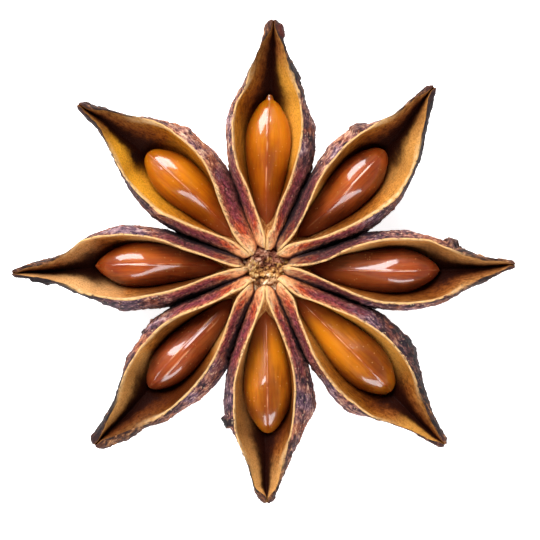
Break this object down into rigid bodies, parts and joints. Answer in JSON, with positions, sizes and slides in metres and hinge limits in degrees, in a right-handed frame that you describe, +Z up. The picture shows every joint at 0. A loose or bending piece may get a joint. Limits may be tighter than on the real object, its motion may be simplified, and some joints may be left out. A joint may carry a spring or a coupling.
{
  "type": "star anise pod",
  "caption": "Whole dried star anise lying on its back: boat-shaped woody follicles round a short column, each split open along its upper edge with a glossy seed inside.",
  "frame": {"origin": "middle of the stalk scar under the column, on the plane that the star rests on", "axes": "+Z up, the way the open follicles face; +X along follicle_1; the follicles are numbered anticlockwise from above"},
  "size_m": [0.032, 0.0308, 0.0083],
  "materials": {
    "core": "crumbly, dull",
    "husk": "dried, wrinkled and dull outside, smooth golden brown inside",
    "seed_coat": "hard, polished"
  },
  "bodies": {
    "root": {"column": "core", "follicle_1": "husk", "follicle_2": "husk", "follicle_3": "husk", "follicle_4": "husk", "follicle_5": "husk", "follicle_6": "husk", "follicle_7": "husk", "follicle_8": "husk", "seed_1": "seed_coat", "seed_2": "seed_coat", "seed_3": "seed_coat", "seed_4": "seed_coat", "seed_5": "seed_coat", "seed_6": "seed_coat", "seed_7": "seed_coat", "seed_8": "seed_coat"}
  },
  "joints": []
}
